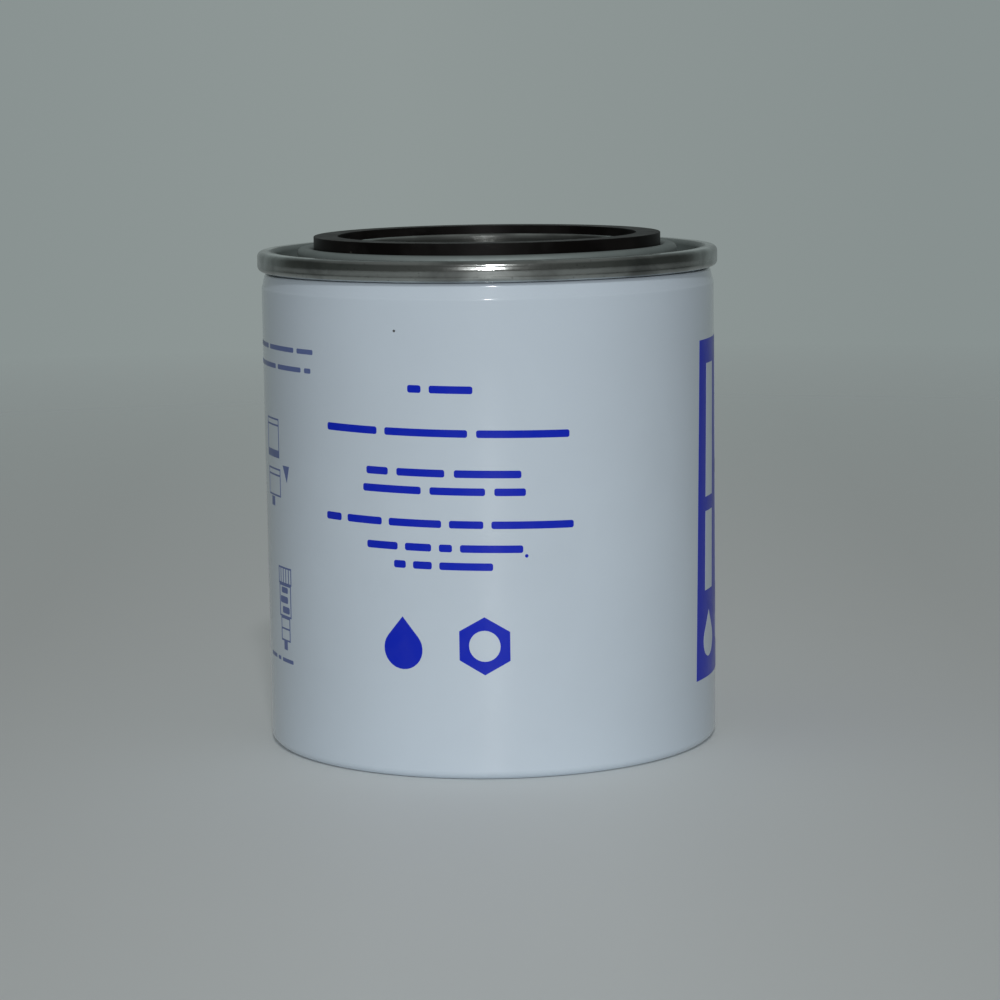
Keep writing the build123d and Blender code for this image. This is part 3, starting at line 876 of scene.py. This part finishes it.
# Columns of light bars on the band, in millimetres: middle, width, and each bar's foot and top
BAND_COLUMNS = (
    (7.3, 5.6, ((18.2, 34.6), (37.6, 65.0))),
    (19.8, 5.6, ((18.2, 41.0), (44.0, 65.0))),
    (32.3, 3.2, ((18.2, 30.0), (32.0, 52.0), (54.0, 65.0))),
)


def band_marks(ink):
    """Light bars that run up the blue band, and a light drop and hexagon at its foot."""
    left, foot = ink.band_left, ink.band_foot
    shapes = [
        [rectangle(left + (middle - wide / 2) * MM, foot + start * MM, wide * MM, (end - start) * MM)]
        for middle, wide, bars in BAND_COLUMNS
        for start, end in bars
    ]
    shapes.append([drop(left + 7.3 * MM, foot + 9.0 * MM, 7.0 * MM, 9.6 * MM)])
    shapes.append([oval(left + 19.8 * MM, foot + 9.0 * MM, 9.0 * MM, 9.0 * MM, 6)])
    return shapes


# Operators


class SEPARATOR_OT_finishes(Operator):
    """Make the shared effects and the finishes, and finish the inner pieces"""

    bl_idname = "separator.finishes"
    bl_label = "Finishes and inner pieces"

    def execute(self, context):
        settings = context.scene.separator
        colours = settings.colours
        turned_grain_group()
        patches_group()
        specks_group()
        settled_dust_group()
        fine_bumps_group()
        rolled_seam_group()
        white_enamel(ENAMEL, colours.enamel)
        sheet_metal(
            TINPLATE, colours.tinplate, (0.1, 0.22), (260.0, 6500.0, 0.007 * MM), (70.0, 0.07 * MM), wear=0.9
        )
        roll_seam(TINPLATE, settings.can, levels(settings), colours.matt_tin, colours.painted_shade_tin)
        sheet_metal(ZINC, colours.zinc, (0.26, 0.42), (900.0, 4200.0, 0.005 * MM), (110.0, 0.02 * MM))
        moulded_rubber(NITRILE, colours.gasket, colours.dust, 0.12)
        moulded_rubber("grommet_nitrile", colours.grommet, colours.dust, 0.08)
        galvanised_sheet("galvanised_cap", colours.galvanised)
        treated_paper("filter_paper", colours.paper)
        cast_compound("cured_adhesive", colours.potting, 0.55, 0.05, 0.03 * MM)
        cast_compound("moulded_nylon", colours.nylon, 0.5, 0.0, 0.015 * MM)
        sheet_metal(
            "oiled_spring", colours.spring, (0.24, 0.4), (500.0, 2500.0, 0.004 * MM), (140.0, 0.01 * MM)
        )
        for name, finish in INNER_FINISHES.items():
            materials = frame["nodes"][name].data.materials
            materials.clear()
            materials.append(bpy.data.materials[finish])
        return {"FINISHED"}


class SEPARATOR_OT_can(Operator):
    """Build the enamelled can with its shoulder and body hook"""

    bl_idname = "separator.can"
    bl_label = "Can"

    def execute(self, context):
        settings = context.scene.separator
        can, lid, at = settings.can, settings.lid, levels(settings)
        hook = at.body_hook - can.sheet
        shoulder_foot = at.seam_foot - can.shoulder_height
        corners = [
            (at.port_bore + can.floor_setback, 0),
            (can.radius, 0),
            (can.radius, shoulder_foot),
            (can.radius - can.step_depth, shoulder_foot + can.step_height),
            (can.radius - can.shoulder_depth, at.seam_foot - can.neck_height),
            (at.neck, at.seam_foot),
            (at.neck, at.hook_fold),
            (hook, at.hook_fold),
            (hook, at.seam_foot + lid.sheet + can.hook_gap),
        ]
        bends = [can.corner_bend, can.step_bend, can.step_bend, can.shoulder_bend, can.neck_bend]
        bends += [can.hook_bend, can.hook_bend]
        mesh = lathe("enamelled_can", bent_sheet(corners, bends, can.sheet))
        add_piece(mesh, ENAMEL, "white_enamel", "can_shell")
        return {"FINISHED"}


class SEPARATOR_OT_lid(Operator):
    """Build the pressed lid: cover hook, seaming panel, moat, land, gasket groove and crest"""

    bl_idname = "separator.lid"
    bl_label = "Lid"

    def execute(self, context):
        settings = context.scene.separator
        can, lid, at = settings.can, settings.lid, levels(settings)
        hook = at.cover_hook - lid.sheet
        chuck = at.neck - can.sheet - can.seam_gap - lid.sheet
        land, land_top = chuck - lid.moat_width, at.rim + lid.land_rise
        moat_floor, groove_floor = at.rim - lid.moat_depth, gasket_foot.z
        corners = [
            (hook, at.hook_fold - can.hook_gap),
            (hook, at.seam_foot),
            (lid.panel_radius, at.seam_foot),
            (lid.panel_radius, at.rim),
            (chuck, at.rim),
            (chuck, moat_floor),
            (land, moat_floor),
            (land, land_top),
            (land - lid.land_width, land_top),
            (land - lid.land_width, groove_floor),
            (at.groove_inner, groove_floor),
            (at.groove_inner, lid_top.z),
            (at.crest_inner, lid_top.z),
            (at.slope_foot, groove_floor),
            (at.opening, groove_floor),
        ]
        bends = [can.curl_bend, can.curl_bend, lid.sheet + can.rim_bend, lid.sheet + can.chuck_bend]
        bends += [lid.moat_bend, lid.moat_bend, lid.land_bend, lid.land_bend, 0, 0]
        bends += [lid.crest_bend, lid.crest_bend, 0]
        mesh = lathe("pressed_lid", bent_sheet(corners, bends, lid.sheet))
        add_piece(mesh, TINPLATE, "tinplate", "seaming_lid")
        return {"FINISHED"}


class SEPARATOR_OT_gasket(Operator):
    """Build the head gasket with moulded edges"""

    bl_idname = "separator.gasket"
    bl_label = "Head gasket"

    def execute(self, context):
        gasket = context.scene.separator.gasket
        outer, inner = gasket.outer_radius, gasket.outer_radius - gasket.width
        foot, top = gasket_foot.z, gasket_top.z
        corners = [Vector(corner) for corner in ((inner, foot), (outer, foot), (outer, top), (inner, top))]
        start = corners[0] + Vector((gasket.width / 2, 0))
        section = rounded([start, *corners[1:], corners[0], start], [gasket.edge] * 4)[:-1]
        add_piece(lathe("moulded_gasket", section), NITRILE, "gasket_rubber", "head_gasket")
        return {"FINISHED"}


class SEPARATOR_OT_plate(Operator):
    """Build the tapping plate with its cut head thread and its inlets"""

    bl_idname = "separator.plate"
    bl_label = "Tapping plate"

    def execute(self, context):
        settings = context.scene.separator
        plate, at = settings.plate, levels(settings)
        top, underside, end = plate_top.z, plate_top.z - plate.thickness, plate_foot.z
        mouth, rim = plate.thread_radius + plate.thread_lead, plate.radius - plate.edge
        corners = [
            (mouth, end),
            (plate.hub_radius, end),
            (plate.hub_radius, underside),
            (rim, underside),
            (plate.radius, underside + plate.edge),
            (plate.radius, top - plate.edge),
            (rim, top),
            (mouth, top),
        ]
        outside = rounded([Vector(corner) for corner in corners], [0, plate.hub_fillet, 0, 0, 0, 0])
        rings = [ring(point, PLATE_SEGMENTS) for point in outside]
        ends = end + plate.thread_lead, top - plate.thread_lead
        rings += thread_rings(plate.thread_radius, plate.thread_pitch, *ends, PLATE_SEGMENTS)
        piece = add_piece(turned_mesh("threaded_plate", rings), ZINC, "plated_steel", "tapping_plate")
        self.drill(context, piece, plate, (plate.hub_radius + at.opening) / 2, (top + underside) / 2)
        return {"FINISHED"}

    def drill(self, context, piece, plate, circle, middle):
        """Cut the inlets through the plate."""
        size = {"radius1": plate.inlet_radius, "radius2": plate.inlet_radius, "depth": 2 * plate.thickness}
        shape = bmesh.new()
        for inlet in range(plate.inlets):
            turn = 2 * pi * inlet / plate.inlets
            place = Matrix.Translation((circle * cos(turn), circle * sin(turn), middle))
            bmesh.ops.create_cone(shape, cap_ends=True, segments=INLET_SEGMENTS, matrix=place, **size)
        drills = add_object("drills", plain_mesh("drills", shape))
        cut = piece.modifiers.new("Inlets", "BOOLEAN")
        cut.object, cut.operation, cut.solver = drills, "DIFFERENCE", "EXACT"
        piece.modifiers.move(1, 0)
        shading = piece.modifiers["Even shading"]
        shading.show_viewport = False
        context.view_layer.update()
        drilled = bpy.data.meshes.new_from_object(piece.evaluated_get(context.evaluated_depsgraph_get()))
        shading.show_viewport = True
        piece.modifiers.remove(cut)
        bpy.data.objects.remove(drills)
        piece.data = smoothed(drilled)
        drilled.name = "threaded_plate"


class SEPARATOR_OT_port(Operator):
    """Build the bowl port with its cut thread"""

    bl_idname = "separator.port"
    bl_label = "Bowl port"

    def execute(self, context):
        settings = context.scene.separator
        port, bore = settings.port, levels(settings).port_bore
        foot, top, wall = port_foot.z, port_top.z, bore + port.wall
        flange_top = foot + port.flange_thickness
        outside = [
            (bore + port.thread_lead, foot),
            (port.flange_radius, foot),
            (port.flange_radius, flange_top - port.edge),
            (port.flange_radius - port.edge, flange_top),
            (wall, flange_top),
            (wall, top - port.edge),
            (wall - port.edge, top),
            (bore + port.edge, top),
        ]
        rings = [ring(point, PORT_SEGMENTS) for point in outside]
        ends = foot + port.thread_lead, top - port.edge
        rings += thread_rings(bore, port.thread_pitch, *ends, PORT_SEGMENTS)
        add_piece(turned_mesh("threaded_port", rings), ZINC, "plated_steel", "bowl_port_ring")
        return {"FINISHED"}


class SEPARATOR_OT_print(Operator):
    """Print the can: plain bars, frames and marks in blue, and a blue band with light bars"""

    bl_idname = "separator.print"
    bl_label = "Print"

    def execute(self, context):
        settings = context.scene.separator
        ink, colours = settings.ink, settings.colours
        print_ink("blue_ink", colours.ink)
        print_ink("light_ink", colours.enamel)
        print_ink("fine_ink", colours.side_ink)
        cast_compound("caught_dirt", colours.dirt, 0.6, 0.0, 0.01 * MM)
        ink_film("front_print", front_print(ink), "blue_ink", settings, slant=ink.slant)
        ink_film("side_print", side_print(ink), "fine_ink", settings)
        band = [[rectangle(ink.band_left, ink.band_foot, ink.band_width, ink.band_height)]]
        ink_film("blue_band", band, "blue_ink", settings, lean=ink.lean)
        ink_film("band_marks", band_marks(ink), "light_ink", settings, lean=ink.lean, lift=ink.film)
        speck = [[oval(ink.speck_place, ink.speck_height, 0.55 * MM, 0.5 * MM)]]
        ink_film("dirt_speck", speck, "caught_dirt", settings)
        return {"FINISHED"}


class SEPARATOR_OT_stage(Operator):
    """Set the floor, the lamps, the surroundings and the camera"""

    bl_idname = "separator.stage"
    bl_label = "Stage"

    def execute(self, context):
        stage = context.scene.separator.stage
        self.add_floor(stage)
        self.add_lamp("key_lamp", stage, stage.key_power, stage.key_height, stage.key_turn)
        self.add_lamp("fill_lamp", stage, stage.fill_power, stage.fill_height, stage.fill_turn)
        context.scene.world = self.surroundings(stage)
        context.scene.camera = self.add_camera(stage)
        context.scene.view_settings.view_transform = "Standard"
        return {"FINISHED"}

    def add_floor(self, stage):
        shape = bmesh.new()
        bmesh.ops.create_circle(shape, cap_ends=True, segments=96, radius=stage.floor_radius)
        floor = add_object("floor", plain_mesh("floor", shape))
        tree = new_material("floor_paper", {"Specular IOR Level": 0.8})
        place = object_place(tree)
        distance = add_node(tree, "VectorMath", {0: place}, operation="LENGTH").outputs["Value"]
        patch = effect(tree, "Patches", scale=3.0, contrast=0.5)
        sideways = math(tree, "ABSOLUTE", add_node(tree, "SeparateXYZ", {0: place}).outputs["X"])
        # Painted light: a paler stripe down the middle of the floor, fading to the floor's own colour at its
        # sides
        aside = spread(tree, sideways, *FLOOR_SIDES)
        paper, shaded = (
            mix_colour(tree, aside, shade(stage.painted_floor_light, share), shade(stage.floor, share))
            for share in (1.0, 0.97)
        )
        clear = spread(tree, distance, stage.clear_radius, stage.floor_radius * 0.9, 1.0, 0.0)
        rough = spread(tree, patch, 0.0, 1.0, 0.56, 0.64)
        connect(tree, mix_colour(tree, patch, paper, shaded), rough, alpha=clear)
        floor.data.materials.append(bpy.data.materials["floor_paper"])

    def add_lamp(self, name, stage, power, height, turn):
        lamp = bpy.data.lights.new(name, "AREA")
        lamp.shape, lamp.size, lamp.energy = "DISK", stage.lamp_size, power
        made = add_object(name, lamp)
        made.visible_camera = False
        aim = Matrix.Rotation(turn, 4, "Z") @ Matrix.Rotation(pi / 2 - height, 4, "X")
        made.matrix_world = aim @ Matrix.Translation((0, 0, stage.lamp_distance))

    def surroundings(self, stage):
        world = bpy.data.worlds.new("surroundings")
        world.use_nodes = True
        tree = world.node_tree
        rays = add_node(tree, "LightPath").outputs
        direction = add_node(tree, "TexCoord").outputs["Generated"]
        split = add_node(tree, "SeparateXYZ", {0: direction}).outputs
        # Painted shade: the backdrop darkens from its middle towards its sides
        aside = math(tree, "ABSOLUTE", math(tree, "SUBTRACT", split["X"], BACKDROP_MIDDLE))
        edge = spread(tree, aside, *BACKDROP_SIDES)
        backdrop = mix_colour(tree, edge, stage.background, stage.background_edge)
        wall = mix_colour(tree, rays["Is Glossy Ray"], stage.wall_behind, backdrop)
        in_front = spread(tree, split["Y"], *IN_FRONT)
        light = mix_colour(tree, in_front, stage.room_beside, stage.room_in_front)
        light = mix_colour(tree, spread(tree, split["Y"], *BEHIND), light, wall)
        light = mix_colour(tree, spread(tree, split["Z"], *OVERHEAD), light, stage.ceiling)
        seen = math(tree, "MAXIMUM", rays["Is Camera Ray"], rays["Is Transmission Ray"])
        tree.links.new(mix_colour(tree, seen, light, backdrop), tree.nodes["Background"].inputs["Color"])
        return world

    def add_camera(self, stage):
        data = bpy.data.cameras.new("camera")
        data.lens = stage.camera_lens
        camera = add_object("camera", data)
        turn = Matrix.Rotation(-stage.camera_turn, 4, "Z")
        tilt = Matrix.Rotation(pi / 2 - stage.camera_tilt, 4, "X")
        roll = Matrix.Rotation(stage.camera_roll, 4, "Z")
        place = Matrix.Translation((0, -stage.camera_distance, stage.camera_height))
        camera.matrix_world = place @ turn @ tilt @ roll
        return camera


STEPS = (
    SEPARATOR_OT_finishes,
    SEPARATOR_OT_can,
    SEPARATOR_OT_lid,
    SEPARATOR_OT_gasket,
    SEPARATOR_OT_plate,
    SEPARATOR_OT_port,
    SEPARATOR_OT_print,
    SEPARATOR_OT_stage,
)


class SEPARATOR_PT_sidebar(Panel):
    """Sizes, colours and steps of the separator"""

    bl_idname = "SEPARATOR_PT_sidebar"
    bl_label = "Fuel Water Separator"
    bl_space_type = "VIEW_3D"
    bl_region_type = "UI"
    bl_category = "Separator"

    def draw(self, context):
        for step in STEPS:
            self.layout.operator(step.bl_idname)
        for group in SeparatorSettings.__annotations__:
            box = self.layout.box()
            box.label(text=group.capitalize())
            values = getattr(context.scene.separator, group)
            for name in values.__annotations__:
                box.prop(values, name)


SIZES = (CanSizes, LidSizes, GasketSizes, PlateSizes, PortSizes, PrintSizes, FinishColours, StageSizes)
CLASSES = (*SIZES, SeparatorSettings, *STEPS, SEPARATOR_PT_sidebar)


def register():
    for kind in CLASSES:
        bpy.utils.register_class(kind)
    bpy.types.Scene.separator = PointerProperty(type=SeparatorSettings)


def unregister():
    del bpy.types.Scene.separator
    for kind in reversed(CLASSES):
        bpy.utils.unregister_class(kind)


def main():
    register()
    bpy.ops.separator.finishes()
    bpy.ops.separator.can()
    bpy.ops.separator.lid()
    bpy.ops.separator.gasket()
    bpy.ops.separator.plate()
    bpy.ops.separator.port()
    bpy.ops.separator.print()
    bpy.ops.separator.stage()


if __name__ == "__main__":
    main()
